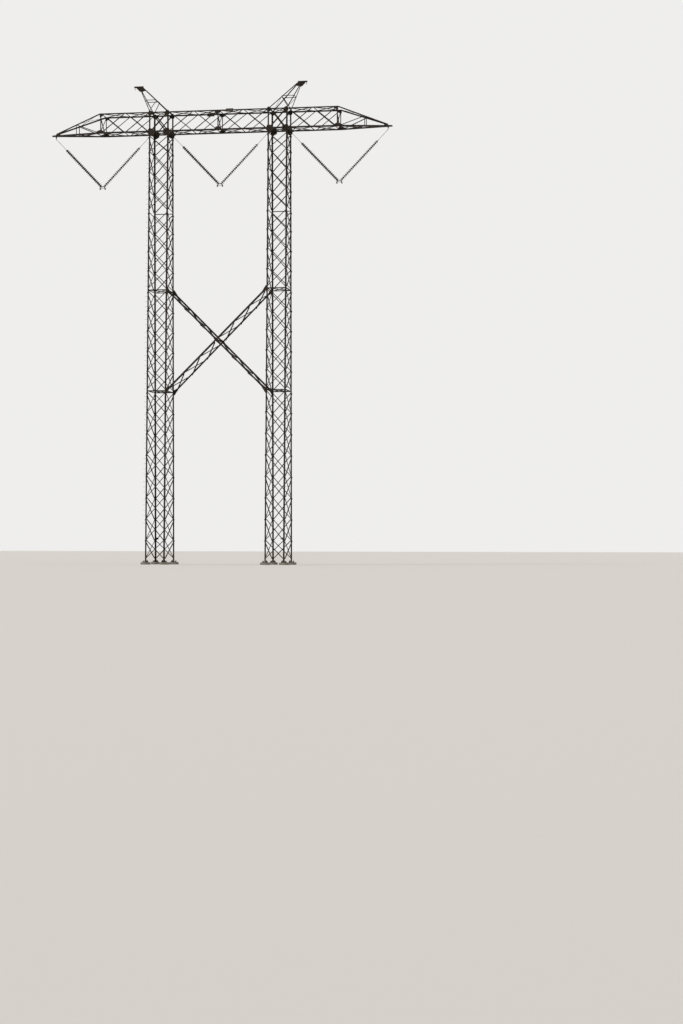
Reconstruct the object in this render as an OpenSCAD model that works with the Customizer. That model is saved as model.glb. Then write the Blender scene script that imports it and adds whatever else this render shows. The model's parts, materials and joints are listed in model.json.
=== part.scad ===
// Lattice transmission pylon: two masts, a box crossarm, an X brace and three V strings.
// X runs across the line, Y along it, Z up. The origin is on the ground, midway between the masts.

/* [Masts] */
// Distance between neighbouring phases; each mast stands midway between two
phase_spacing = 9420; // [8800:10:10400]
// Width of a mast across the line, over the legs
mast_w = 1560; // [1450:10:1750]
// Depth of a mast under the crossarm, over the legs
mast_d_top = 1600; // [1500:10:1800]
// Depth of a mast at the ground, over the legs
mast_d_base = 3110; // [2800:10:3600]
// Flange width of a leg angle
leg_w = 115; // [105:5:150]
// Thickness of a leg angle
leg_t = 12; // [10:1:16]
// Height of the lowest bracing node
foot_node_z = 480; // [420:10:600]
// Height of the second bracing node
first_node_z = 1880; // [1600:10:2200]
// Height of the ring where the X brace ends below
low_ring_z = 13460; // [12800:10:14400]
// Height of the ring where the X brace ends above
high_ring_z = 21300; // [20600:10:22200]
// Flange width of a mast bracing angle
lace_w = 60; // [50:5:75]
// Thickness of a mast bracing angle
lace_t = 7; // [5:1:9]
// Flange width of a ring angle
ring_w = 70; // [60:5:80]

/* [Footings] */
// Diameter of a concrete pier cap
pier_d = 760; // [600:10:1000]
// Height of a pier cap above the ground
pier_h = 180; // [120:10:260]
// Side of a base plate
shoe_w = 380; // [330:10:450]
// Thickness of a base plate
shoe_t = 30; // [20:2:40]

/* [Crossarm] */
// Height of the underside of the crossarm
arm_z = 33640; // [33000:10:34200]
// Height of the crossarm box, over the chords
arm_h = 1580; // [1400:10:1700]
// Distance from the centre to the knee, where the box turns into a nose
knee_x = 9460; // [9100:10:9600]
// Distance from the centre to the tip of a nose
tip_x = 13580; // [13200:10:13800]
// Flange width of a bottom chord
chord_w = 120; // [110:1:140]
// Flange width of a top chord
top_chord_w = 100; // [95:1:125]
// Thickness of the chord angles
chord_t = 12; // [8:1:14]
// Flange width of a crossarm bracing angle
arm_lace_w = 60; // [50:2:75]
// Flange width of the crossed bars between the legs of a mast, inside the crossarm
mast_bay_w = 90; // [64:2:100]
// Reach of a node plate along its chord, from the edge of a leg
gusset_w = 420; // [300:10:500]
// Height of a node plate below the crossarm
gusset_h = 300; // [200:10:330]

/* [X brace] */
// Flange width of a brace chord
brace_w = 128; // [100:1:150]
// Thickness of a brace chord
brace_t = 10; // [8:1:14]
// Flange width of the brace lacing
brace_lace_w = 68; // [50:2:80]
// Lacing panels in a whole arm of the brace
brace_panels = 6; // [4:2:8]

/* [Peaks] */
// Height of a peak over the crossarm
peak_h = 2180; // [1900:10:2300]
// How far the head of a peak leans out from the middle of its mast
peak_lean = 1560; // [1350:10:1700]
// Length of the beak that carries the earth wire
beak_l = 620; // [550:10:750]
// Flange width of an inner peak leg
peak_leg_w = 80; // [70:5:100]
// Flange width of an outer peak leg
peak_outer_w = 56; // [50:2:80]

/* [V strings] */
// Half distance between the two ends of a V at the crossarm
v_half = 3795; // [3700:5:3800]
// Depth of the yoke pins below the hanger pins
v_drop = 3930; // [3840:10:4200]
// Diameter of an insulator disc
disc_d = 254; // [200:2:280]
// Distance from one disc to the next
disc_pitch = 156; // [146:1:170]
// Discs in one leg of a V
disc_count = 26; // [22:1:27]
// Depth of the conductors below the yoke pins
clamp_drop = 200; // [180:5:300]
// Distance between the two conductors of a phase
bundle = 400; // [350:10:500]
// Diameter of a conductor
conductor_d = 32; // [24:1:40]
// Diameter of a hanger pin
pin_d = 30; // [24:1:36]
// Clearance round a hanger pin
pin_gap = 0.5; // [0.3:0.1:1]

/* [Hidden] */

mast_x = phase_spacing / 2;
half_w = mast_w / 2;
arm_top = arm_z + arm_h;
side_slope = (mast_d_base - mast_d_top) / 2 / arm_z;
lean = atan(side_slope);
peak_z = arm_top + peak_h;
nose_l = tip_x - knee_x;
nose_turn = atan(mast_d_top / 2 / nose_l);
low_panels = 7;
mid_panels = 5;
high_panels = 8;
outer_end = leg_w / 2;
inner_end = leg_t + max(ring_w, lace_w) + 14;
ring_gap = 130;
plan_out = 5;
plan_end = 88;
web_end = 90;
chord_end = 45;
bay_end = 150;
arm_gap = gusset_h + 40;
station_gap = 80;
arm_lace_t = 8;
frame_w = 70;
nose_post_x = (knee_x + tip_x) / 2 - 60;
nose_trim = 700;
seat_gap = 0.05;
tip_h = 190;
lug_w = 85;
plate_rise = 190;
cap_h = 110;
node_plate_l = 190;
node_plate_w = 210;
marker_x = 930;
marker_w = 580;
marker_h = 260;
sign_w = 270;
sign_h = 140;
sign_z = first_node_z + 80;
sheet_t = 6;
plate_t = 10;
peak_t = 8;
peak_lace_w = 56;
peak_lace_t = 7;
earth_wire_d = 12;
eye_t = 24;
cheek_gap = 5;
steel = "dimgray";

function steps(a, b, n) = [for (i = [0:n - 1]) a + (b - a) * i / n];
levels = concat([foot_node_z], steps(first_node_z, low_ring_z, low_panels),
    steps(low_ring_z, high_ring_z, mid_panels), steps(high_ring_z, arm_z, high_panels), [arm_z]);
light_ring_z = levels[1 + low_panels + mid_panels + high_panels / 2];
function half_d(z) = mast_d_base / 2 - side_slope * min(z, arm_z);
function is_ring(z) = z == low_ring_z || z == high_ring_z || z == light_ring_z;
function end_gap(z) = z == arm_z ? arm_gap : is_ring(z) ? ring_gap : 0;
function unit(v) = v / norm(v);
function flat(x) = x / cos(lean);

// Section of an angle whose flange lies on the X axis and whose other flange stands at its left edge
function angle_points(w, t, up) = [for (p = [[0, 0], [w, 0], [w, t], [t, t], [t, w], [0, w]])
    [p.x - w / 2, up * p.y]];

// Angle in the XY plane from p to q: its flange lies on the plane at height h, on the side given by up
module lace(p, q, w, t, h, up) {
    translate([p.x, p.y, h])
        rotate([0, 0, atan2(q.y - p.y, q.x - p.x)])
            rotate([90, 0, 90])
                linear_extrude(norm(q - p)) polygon(angle_points(w, t, up));
}

// Crossed pair in the XY plane: one angle on the flanges, the other behind them, with a packing between
module cross_pair(h0, h1, y0, y1, w, t, gap, e_out = outer_end, e_in = inner_end, sink = 0) {
    a0 = h0 - e_out;
    a1 = h1 - e_out;
    b0 = h0 - e_in;
    b1 = h1 - e_in;
    s = (a0 + b0) / (a0 + a1 + b0 + b1);
    union() {
        lace([-a0, y0], [a1, y1], w, t, -sink, 1);
        lace([b0, y0], [-b1, y1], w, t, sink - gap, -1);
        translate([-a0 + (a0 + a1) * s, y0 + (y1 - y0) * s, -gap])
            cylinder(d = w * 0.8, h = gap, $fn = 6);
    }
}

// Crossed pair in one plane, both angles behind the flanges
module flat_pair(h, y0, y1, w, t, gap) {
    union() {
        lace([h, y0], [-h, y1], w, t, -gap, -1);
        lace([-h, y0], [h, y1], w, t, -gap, -1);
    }
}

// Extrudes a section from p to q: its Y axis points to the side n and its X axis to the left of that
module along(p, q, n) {
    u = unit(q - p);
    a = unit(cross(n, u));
    b = cross(u, a);
    multmatrix([[a.x, b.x, u.x, p.x], [a.y, b.y, u.y, p.y], [a.z, b.z, u.z, p.z], [0, 0, 0, 1]])
        linear_extrude(norm(q - p)) children();
}

// Section of a chord: a flange outside the line, and a flange inward from its heel
module chord_section(w, t) {
    polygon([[0, t], [w, t], [w, 0], [t, 0], [t, t - w], [0, t - w]]);
}

// Places what is drawn in the XY plane on the leaning front face of a mast, Y up and Z outward
module on_front(x) {
    translate([x, -mast_d_base / 2, 0]) rotate([90 - lean, 0, 0]) children();
}

module on_side(x, s) {
    translate([x + s * half_w, 0, 0]) rotate([90, 0, s * 90]) children();
}

module leg_pair(x) {
    color(steel) on_front(x)
        for (s = [-1, 1])
            translate([s * half_w, flat(pier_h + shoe_t) + leg_w * tan(lean), 0])
                rotate([-90, 0, 0])
                    linear_extrude(flat(arm_z - pier_h - shoe_t) - leg_w * tan(lean))
                        polygon([for (p = [[0, 0], [leg_w, 0], [leg_w, leg_t], [leg_t, leg_t],
                            [leg_t, leg_w], [0, leg_w]]) [-s * p.x, p.y]]);
}

module front_face(x) {
    color(steel) on_front(x)
        for (i = [0:len(levels) - 2])
            cross_pair(half_w, half_w, flat(levels[i] + end_gap(levels[i])),
                flat(levels[i + 1] - end_gap(levels[i + 1])), lace_w, lace_t, leg_t);
}

module side_face(x, s) {
    color(steel) on_side(x, s)
        for (i = [0:len(levels) - 2])
            let (z0 = levels[i] + end_gap(levels[i]), z1 = levels[i + 1] - end_gap(levels[i + 1]))
                cross_pair(half_d(z0), half_d(z1), z0, z1, lace_w, lace_t, leg_t);
}

// Ring of four angles inside the legs, with crossed angles lying on it
module ring(x, z) {
    h = half_w - inner_end;
    d = half_d(z) - inner_end;
    union() {
        for (m = [0, 1])
            mirror([0, m, 0])
                on_front(x) lace([-h, flat(z)], [h, flat(z)], ring_w, lace_t, -leg_t, -1);
        for (s = [-1, 1])
            on_side(x, s) lace([-d, z], [d, z], ring_w, lace_t, -leg_t, -1);
        for (s = [-1, 1])
            translate([x, 0, z - ring_w / 2 + lace_t / 2])
                lace([-s * (h + plan_out), -d - plan_out], [s * (h + plan_out), d + plan_out], lace_w,
                    lace_t, 0, 1);
    }
}

module rings(x) {
    h = half_w - inner_end;
    color(steel) {
        for (z = [low_ring_z, high_ring_z]) ring(x, z);
        mirror([0, 1, 0]) on_front(x)
            lace([-h, flat(light_ring_z)], [h, flat(light_ring_z)], ring_w, lace_t, -leg_t, -1);
    }
}

module piers(x) {
    color("darkgray")
        for (i = [-1, 1], j = [-1, 1])
            translate([x + i * (half_w - leg_w / 3), j * (half_d(0) - leg_w / 3), 0])
                cylinder(d = pier_d, h = pier_h, $fn = 48);
}

module base_plates() {
    color(steel)
        for (x = [-mast_x, mast_x], i = [-1, 1], j = [-1, 1])
            translate([x + i * (half_w - leg_w / 3), j * (half_d(0) - leg_w / 3), pier_h + shoe_t / 2])
                cube([shoe_w, shoe_w, shoe_t], center = true);
}

module arm_posts() {
    color(steel)
        for (x = [-mast_x, mast_x], i = [-1, 1], j = [-1, 1])
            translate([x + i * half_w, j * mast_d_top / 2, arm_z])
                linear_extrude(arm_h - chord_t)
                    polygon([for (p = [[0, 0], [leg_w, 0], [leg_w, leg_t], [leg_t, leg_t],
                        [leg_t, leg_w], [0, leg_w]]) [-i * p.x, -j * p.y]]);
}

nose_dir = unit([nose_l, mast_d_top / 2, 0]);
nose_out = [nose_dir.y, -nose_dir.x, 0];
top_end_x = tip_x - 370;
trim_x = tip_x - nose_trim;
top_fall = (arm_h - chord_w - top_chord_w) / (top_end_x - knee_x);
nose_fall = atan(top_fall * cos(nose_turn));
function nose_point(x, z) = [x, -mast_d_top / 2 * (tip_x - x) / nose_l, z];
function top_z(x) = arm_top - top_fall * (x - knee_x);
function nose_top(x) = nose_point(x, top_z(x));

// Straight chord between the knees, drawn for the front and notched round the legs
module bottom_chord() {
    color(steel) difference() {
        along([-knee_x, -mast_d_top / 2, arm_z], [knee_x, -mast_d_top / 2, arm_z], [0, -1, 0])
            chord_section(chord_w, chord_t);
        for (x = [-mast_x, mast_x], i = [-1, 1])
            translate([x + i * (half_w - leg_w / 2), -mast_d_top / 2 + leg_w / 2, arm_z])
                cube([leg_w + 2, leg_w, 3 * chord_t], center = true);
    }
}

module top_chord() {
    color(steel)
        along([knee_x, -mast_d_top / 2, arm_top], [-knee_x, -mast_d_top / 2, arm_top], [0, -1, 0])
            chord_section(top_chord_w, chord_t);
}

// Bar under the sloping top of the right nose, from the front chord at x0 to the back chord at x1
module nose_top_bar(x0, x1) {
    n = unit([top_fall, 0, 1]);
    sunk = n * (chord_t + arm_lace_t - 4);
    edge = [0, 25, 0];
    along([x0, nose_top(x0).y, top_z(x0)] + edge - sunk,
        [x1, -nose_top(x1).y, top_z(x1)] - edge - sunk, n)
        square([arm_lace_w, arm_lace_t]);
}

// The four chords of the right nose: angles that lose their inward flange near the tip
module nose_chords() {
    x0 = knee_x - 60;
    difference() {
        union() for (m = [0, 1])
            mirror([0, m, 0]) {
                nose_top_bar(nose_post_x, nose_post_x);
                nose_top_bar(knee_x + bay_end, nose_post_x - web_end);
                union() {
                    along(nose_point(x0, arm_z), nose_point(trim_x, arm_z), nose_out)
                        chord_section(chord_w, chord_t);
                    along(nose_point(trim_x - 1, arm_z), nose_point(tip_x - 60, arm_z), nose_out)
                        square([chord_w, chord_t]);
                }
                union() {
                    along(nose_top(trim_x), nose_top(x0), nose_out) chord_section(top_chord_w, chord_t);
                    along(nose_top(top_end_x), nose_top(trim_x - 1), nose_out)
                        square([top_chord_w, chord_t]);
                }
            }
        translate([knee_x - arm_h, -mast_d_top, arm_z - arm_h / 2])
            cube([arm_h, 2 * mast_d_top, 2 * arm_h]);
    }
}

inner_x = mast_x - half_w;
outer_x = mast_x + half_w;
frame_x = knee_x - frame_w / 2 - 45;
arm_bays = concat([for (i = [0:3]) [inner_x * (i / 2 - 1), inner_x * (i / 2 - 0.5)]],
    [for (s = [-1, 1], i = [0, 1]) let (a = outer_x + (frame_x - outer_x) * i / 2,
        b = outer_x + (frame_x - outer_x) * (i + 1) / 2) s > 0 ? [a, b] : [-b, -a]]);
mast_bays = [for (s = [-1, 1]) [s * mast_x - half_w + leg_w, s * mast_x + half_w - leg_w]];

module arm_front() {
    color(steel)
        translate([0, -mast_d_top / 2 - chord_t, arm_z + arm_h / 2]) rotate([90, 0, 0])
            rotate([0, 0, -90]) {
            for (b = arm_bays)
                cross_pair(arm_h / 2, arm_h / 2, b[0] + station_gap, b[1] - station_gap, arm_lace_w,
                    arm_lace_t, chord_t, chord_end, web_end);
            for (b = mast_bays)
                cross_pair(arm_h / 2, arm_h / 2, b[0] + station_gap, b[1] - station_gap, mast_bay_w,
                    arm_lace_t, chord_t, chord_end, bay_end);
        }
}

// Crossed bracing of the top or bottom of the box, behind the flanges
module arm_plan() {
    rotate([0, 0, -90])
        for (b = concat(arm_bays, mast_bays))
            flat_pair(mast_d_top / 2 - plan_end, b[0] + station_gap, b[1] - station_gap, arm_lace_w,
                arm_lace_t, chord_t);
}

// Upright frame across the box: two posts inside the chords and a crossed pair between them
module arm_frame(x) {
    for (m = [0, 1])
        mirror([0, m, 0])
            translate([x, -mast_d_top / 2, 0]) rotate([90, 0, 0])
                lace([0, arm_z + chord_t], [0, arm_top - chord_t], frame_w, arm_lace_t, 0, -1);
    translate([x - frame_w / 2, 0, 0]) rotate([90, 0, -90])
        cross_pair(mast_d_top / 2, mast_d_top / 2, arm_z + 150, arm_top - 150, arm_lace_w, arm_lace_t,
            arm_lace_t, 45, 45);
}

module arm_frames() {
    color(steel) {
        arm_frame(0);
        arm_frame(frame_x);
        arm_frame(-frame_x);
    }
}

// Places what is drawn in the XY plane on the upright front of the crossarm, Y up and Z outward
module on_arm(x, z) {
    translate([x, -mast_d_top / 2, z]) rotate([90, 0, 0]) linear_extrude(chord_t) children();
}

// Half of a node plate on the edge of a chord: full height to a, then falling to its end at b
module plate_half(a, b, h) {
    polygon([[0, 0], [0, h], [a, h], [b, h * 0.35], [b, 0]]);
}

// Front node plates of the right half of the crossarm, each flush with the flange of its chord
module arm_plates() {
    low = arm_z + chord_w;
    high = arm_top - top_chord_w;
    for (s = [-1, 1]) {
        on_front(mast_x) translate([s * half_w, flat(arm_z) - 1, 0]) linear_extrude(chord_t)
            polygon([for (p = [[lug_w, 0], [lug_w, -gusset_h * 0.4], [0, -gusset_h], [-leg_w, -gusset_h],
                [-gusset_w, -gusset_h * 0.43], [-gusset_w, 0]]) [s * p.x, p.y]]);
        for (end = [[low, 1, gusset_w], [high, -1, gusset_w * 0.8]])
            on_arm(mast_x + s * half_w, end[0])
                polygon([for (p = [[lug_w, 0], [lug_w, plate_rise * 0.4], [0, plate_rise],
                    [-leg_w, plate_rise], [-end[2], plate_rise * 0.37], [-end[2], 0]])
                    [s * p.x, end[1] * p.y]]);
        on_arm(mast_x + s * half_w, arm_top)
            polygon([for (p = [[lug_w / 2, 0], [0, cap_h], [-leg_w, cap_h], [-gusset_w * 0.7, 0]])
                [s * p.x, p.y]]);
    }
    for (end = [[low, 0], [high, 1]]) {
        on_arm(knee_x, end[0]) mirror([0, end[1], 0]) mirror([1, 0, 0]) plate_half(140, 330, 170);
        on_arm(0, end[0]) mirror([0, end[1], 0]) plate_half(120, 260, 170);
    }
    translate([knee_x, -mast_d_top / 2, low]) rotate([90, 0, nose_turn]) linear_extrude(chord_t)
        plate_half(80, 300, 150);
}

// Bracing of the right nose
module nose_lacing() {
    along_x = (nose_post_x - knee_x) / cos(nose_turn);
    post_top = top_z(nose_post_x + arm_lace_w) - arm_z - (2 * chord_t + arm_lace_t) / cos(nose_fall);
    for (m = [0, 1])
        mirror([0, m, 0])
            translate([knee_x, -mast_d_top / 2, arm_z]) rotate([90, 0, nose_turn]) {
                lace([along_x, chord_t + seat_gap], [along_x, post_top], arm_lace_w, arm_lace_t,
                    -seat_gap, -1);
                lace([web_end, station_gap - 10], [along_x - 30, top_z(nose_post_x) - arm_z - chord_end],
                    arm_lace_w, arm_lace_t, chord_t + seat_gap, 1);
            }
    h0 = mast_d_top / 2 - plan_end;
    h1 = (tip_x - nose_post_x) / nose_l * mast_d_top / 2 - plan_end;
    translate([0, 0, arm_z]) rotate([180, 0, 0]) rotate([0, 0, -90])
        for (s = [-1, 1])
            lace([s * h0, knee_x + station_gap], [-s * h1, nose_post_x - 50], arm_lace_w, arm_lace_t,
                -chord_t - seat_gap, -1);
}

// Wedge between the ends of the four chords of the right nose
module nose_tip() {
    x0 = trim_x + 40;
    x1 = tip_x - 30;
    y0 = -nose_point(x0, 0).y - seat_gap;
    y1 = -nose_point(x1, 0).y - seat_gap;
    x2 = top_end_x + 30;
    translate([0, 0, arm_z]) intersection() {
        linear_extrude(tip_h) polygon([[x0, -y0], [x1, -y1], [x1, y1], [x0, y0]]);
        rotate([90, 0, 0]) linear_extrude(2 * y0 + 20, center = true)
            polygon([[x0 - 10, -10], [x1 + 10, -10], [x1 + 10, tip_h * 0.6], [x2, tip_h * 0.7],
                [x2 - 60, tip_h + 10], [x0 - 10, tip_h + 10]]);
    }
}

brace_zc = (low_ring_z + high_ring_z) / 2;
brace_a = atan((high_ring_z - low_ring_z) / 2 / inner_x);
brace_half = inner_x / cos(brace_a);
brace_end = brace_half - 210;
brace_mid = 190;
function brace_d(y) = half_d(brace_zc - y * sin(brace_a));

// Flat lattice between two chords, one in each leaning plane, from y0 to y1 along the falling arm
module brace_arm(y0, y1, n) {
    for (m = [0, 1])
        mirror([0, m, 0])
            on_front(0)
                lace([y0 * cos(brace_a), flat(brace_zc - y0 * sin(brace_a))],
                    [y1 * cos(brace_a), flat(brace_zc - y1 * sin(brace_a))], brace_w, brace_t, 0, -1);
    translate([0, 0, brace_zc]) rotate([0, brace_a, 0]) rotate([180, 0, 90]) translate([0, 0, brace_w / 2])
        for (i = [0:n - 1])
            let (a = y0 + (y1 - y0) * i / n + 60, b = y0 + (y1 - y0) * (i + 1) / n - 60)
                cross_pair(brace_d(a), brace_d(b), a, b, brace_lace_w, arm_lace_t, brace_t, 60, 60, 2);
    translate([0, 0, brace_zc]) rotate([0, brace_a, 0]) rotate([180, 0, 90])
        for (i = [1:n - 1], s = [-1, 1])
            let (y = y0 + (y1 - y0) * i / n)
                translate([0, 0, brace_w / 2 - brace_t - plate_t + 3]) linear_extrude(plate_t)
                    polygon([for (p = [[-25, -node_plate_l], [-25, node_plate_l], [-node_plate_w, 60],
                        [-node_plate_w, -60]]) [s * (brace_d(y) + p.x), y + p.y]]);
}

// Plate on the leaning plane that ties a brace chord to a leg
module brace_end_plate() {
    hold = leg_w - 10;
    linear_extrude(plate_t) polygon([[-hold, 75], [-25, 90], [-25, 200], [60, 200],
        [330, -230], [230, -330], [-25, -180], [-25, -90], [-hold, -75]]);
}

module brace_plates() {
    color(steel)
        for (m = [0, 1])
            mirror([0, m, 0])
                on_front(0) {
                    translate([0, flat(brace_zc), 0]) linear_extrude(plate_t) {
                        rotate([0, 0, brace_a]) square([2 * brace_mid + 160, brace_w], center = true);
                        rotate([0, 0, -brace_a]) square([2 * brace_mid, brace_w + 60], center = true);
                    }
                    for (i = [0, 1]) mirror([i, 0, 0]) {
                        translate([-inner_x, flat(high_ring_z), 0]) brace_end_plate();
                        translate([-inner_x, flat(low_ring_z), 0]) mirror([0, 1, 0]) brace_end_plate();
                    }
                }
}

// Peak over the right mast, leaning outward to a head and a beak
peak_bx = half_w - 30;
peak_by = mast_d_top / 2 - 40;
head_x = 180;
head_y = 90;
head_z = peak_h - 150;
beak_h = 110;
ring_k = 0.48;
foot_k = 0.06;
front_out = unit([0, -head_z, peak_by - head_y]);
function peak_at(i, j, k) = [mast_x + i * peak_bx + (peak_lean + i * (head_x - peak_bx)) * k,
    -j * (peak_by + (head_y - peak_by) * k), arm_top + head_z * k];
function peak_out(i) = unit([i * head_z, 0, -i * (peak_at(i, 1, 1).x - peak_at(i, 1, 0).x)]);

module peak_bar(p, q, n, depth) {
    along(p + n * depth, q + n * depth, n) square([peak_lace_w, peak_lace_t]);
}

module peak() {
    difference() {
        union() {
            for (m = [0, 1])
                mirror([0, m, 0]) {
                    along(peak_at(-1, 1, 1), peak_at(-1, 1, -0.1), front_out)
                        chord_section(peak_leg_w, peak_t);
                    along(peak_at(1, 1, -0.1), peak_at(1, 1, 1), front_out)
                        chord_section(peak_outer_w, peak_t);
                    peak_bar(peak_at(-1, 1, ring_k), peak_at(1, 1, ring_k), front_out, peak_t - 1);
                    peak_bar(peak_at(1, 1, foot_k), peak_at(-1, 1, ring_k), front_out, peak_t - 2);
                }
            for (i = [-1, 1]) {
                peak_bar(peak_at(i, 1, ring_k), peak_at(i, -1, ring_k), peak_out(i), -3);
                peak_bar(peak_at(i, i, foot_k), peak_at(i, -i, ring_k), peak_out(i), -4);
            }
            for (y = [-head_y - 6, head_y - 4])
                translate([mast_x + peak_lean, y + 10, arm_top + head_z]) rotate([90, 0, 0])
                    linear_extrude(10)
                        polygon([[-head_x - 110, -180], [-head_x + 70, 70], [head_x + 290, 70],
                            [head_x + 250, -10], [head_x + 30, -230], [head_x - 90, -270]]);
            translate([mast_x + peak_lean - 110, -60, peak_z - beak_h]) cube([beak_l + 110, 120, beak_h]);
            translate([mast_x + peak_lean - 110, -head_y - 20, peak_z - beak_h - 25])
                cube([480, 2 * head_y + 40, 30]);
        }
        translate([mast_x - mast_w, -mast_d_top, arm_top - arm_h])
            cube([2 * mast_w, 2 * mast_d_top, arm_h]);
    }
}

// Clamp of the earth wire under the tip of the right beak
module earth_clamp() {
    translate([mast_x + peak_lean + beak_l - 60, 0, peak_z - beak_h]) difference() {
        union() {
            translate([-6, -25, -125]) cube([12, 50, 125]);
            translate([0, 0, -135]) rotate([90, 0, 0]) cylinder(d = 44, h = 160, center = true, $fn = 32);
        }
        translate([0, 0, -135]) rotate([90, 0, 0])
            cylinder(d = earth_wire_d, h = 200, center = true, $fn = 32);
    }
}

v_x = [-phase_spacing, 0, phase_spacing];
hanger_w = 80;
hanger_h = 40;
eye_d = 84;
eye_room = 4;
hang_z = arm_z - hanger_h - eye_d / 2 - eye_room;
link_l = 110;
yoke_z = hang_z - v_drop;
yoke_pin = 126;
yoke_h = clamp_drop - 55;
foot_l = 50;
v_run = v_half - yoke_pin;
v_fall = v_drop - link_l;
v_len = norm([v_run, v_fall]);
v_tilt = atan(v_run / v_fall);
string_l = disc_pitch * disc_count;

// Places what is drawn along Z, from the yoke up, on the right leg of the V at phase x
module on_leg(x, s) {
    translate([x + s * yoke_pin, 0, yoke_z]) rotate([0, s * v_tilt, 0]) children();
}

module hanger(x) {
    nose = abs(x) > knee_x;
    y = nose ? -nose_point(abs(x), 0).y : mast_d_top / 2;
    translate([x, 0, 0]) {
        translate([-hanger_w / 2, -y - chord_t, arm_z - hanger_h])
            cube([hanger_w, 2 * (y + chord_t), hanger_h]);
        for (i = [-1, 1])
            translate([i * (eye_t / 2 + cheek_gap + plate_t / 2), 0, hang_z])
                translate([-plate_t / 2, -hanger_w / 2, -hanger_w / 2])
                    cube([plate_t, hanger_w, arm_z - hanger_h - hang_z + hanger_w / 2]);
        translate([0, 0, hang_z]) rotate([0, 90, 0])
            cylinder(d = pin_d, h = eye_t + 2 * cheek_gap + 2 * plate_t + 16, center = true, $fn = 48);
    }
}

module hangers() {
    color(steel)
        for (p = v_x, s = [-1, 1]) hanger(p + s * v_half);
}

// Eye and rod between a hanger pin and the top insulator
module link(x, s) {
    translate([x + s * v_half, 0, hang_z]) difference() {
        union() {
            rotate([0, 90, 0]) cylinder(d = eye_d, h = eye_t, center = true, $fn = 48);
            translate([-eye_t / 2, -30, -link_l]) cube([eye_t, 60, link_l]);
        }
        rotate([0, 90, 0]) cylinder(d = pin_d + 2 * pin_gap, h = 2 * eye_t, center = true, $fn = 48);
    }
    on_leg(x, s) translate([0, 0, foot_l + string_l])
        cylinder(d = 28, h = v_len - foot_l - string_l, $fn = 24);
}

module links(x) {
    color(steel)
        for (s = [-1, 1]) link(x, s);
}

module string(x, s) {
    r = disc_d / 2;
    p = disc_pitch;
    disc = [[14, 0], [14, 0.2 * p], [r, 0.2 * p], [r, 0.28 * p], [r * 0.58, 0.5 * p], [r * 0.46, 0.54 * p],
        [r * 0.41, 0.92 * p], [14, 0.96 * p]];
    color("saddlebrown") on_leg(x, s) translate([0, 0, foot_l])
        rotate_extrude($fn = 32) polygon(concat([[0, 0]],
            [for (i = [0:disc_count - 1], q = disc) [q.x, q.y + i * p]], [[14, string_l], [0, string_l]]));
}

module yoke(x) {
    color(steel) difference() {
        union() {
            translate([x, plate_t, yoke_z]) rotate([90, 0, 0])
                linear_extrude(2 * plate_t) difference() {
                    polygon([[-160, 35], [160, 35], [bundle / 2 + 36, -yoke_h],
                        [-bundle / 2 - 36, -yoke_h]]);
                    polygon([[-90, -25], [90, -25], [bundle / 2 - 52, 36 - yoke_h],
                        [52 - bundle / 2, 36 - yoke_h]]);
                }
            for (s = [-1, 1]) {
                on_leg(x, s) cylinder(d = 46, h = foot_l, $fn = 24);
                translate([x + s * bundle / 2 - 10, -35, yoke_z - yoke_h - 30]) cube([20, 70, 40]);
                translate([x + s * bundle / 2, 0, yoke_z - clamp_drop]) rotate([90, 0, 0])
                    cylinder(d = conductor_d + 36, h = 260, center = true, $fn = 32);
            }
        }
        for (s = [-1, 1])
            translate([x + s * bundle / 2, 0, yoke_z - clamp_drop]) rotate([90, 0, 0])
                cylinder(d = conductor_d, h = 300, center = true, $fn = 32);
    }
}

module marker_plates() {
    color("gray")
        for (a = [0, 180])
            rotate([0, 0, a])
                translate([marker_x - marker_w / 2, -mast_d_top / 2 - chord_t - sheet_t, arm_top - 190])
                    cube([marker_w, sheet_t, marker_h]);
}

module sign_plates() {
    color("gray")
        for (a = [0, 180])
            rotate([0, 0, a]) on_front(mast_x)
                translate([half_w - sign_w - 20, flat(sign_z), 0]) cube([sign_w, sign_h, sheet_t]);
}

leg_pair(-mast_x);  // left_legs_front
mirror([0, 1, 0]) leg_pair(-mast_x);  // left_legs_back
leg_pair(mast_x);  // right_legs_front
mirror([0, 1, 0]) leg_pair(mast_x);  // right_legs_back
front_face(-mast_x);  // left_face_front
rotate([0, 0, 180]) front_face(mast_x);  // left_face_back
side_face(-mast_x, -1);  // left_face_outer
side_face(-mast_x, 1);  // left_face_inner
front_face(mast_x);  // right_face_front
rotate([0, 0, 180]) front_face(-mast_x);  // right_face_back
side_face(mast_x, 1);  // right_face_outer
side_face(mast_x, -1);  // right_face_inner
rings(-mast_x);  // left_rings
rings(mast_x);  // right_rings
piers(-mast_x);  // left_piers
piers(mast_x);  // right_piers
base_plates();
arm_posts();
bottom_chord();  // bottom_chord_front
mirror([0, 1, 0]) bottom_chord();  // bottom_chord_back
top_chord();  // top_chord_front
mirror([0, 1, 0]) top_chord();  // top_chord_back
arm_front();  // arm_lacing_front
mirror([0, 1, 0]) arm_front();  // arm_lacing_back
color(steel) translate([0, 0, arm_top]) arm_plan();  // arm_lacing_top
color(steel) translate([0, 0, arm_z]) rotate([180, 0, 0]) arm_plan();  // arm_lacing_bottom
arm_frames();
color(steel) for (m = [0, 1]) mirror([m, 0, 0]) arm_plates();  // arm_plates_front
color(steel) for (m = [0, 1]) mirror([m, 0, 0]) mirror([0, 1, 0]) arm_plates();  // arm_plates_back
color(steel) mirror([1, 0, 0]) nose_chords();  // left_nose_chords
color(steel) nose_chords();  // right_nose_chords
color(steel) mirror([1, 0, 0]) nose_lacing();  // left_nose_lacing
color(steel) nose_lacing();  // right_nose_lacing
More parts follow.
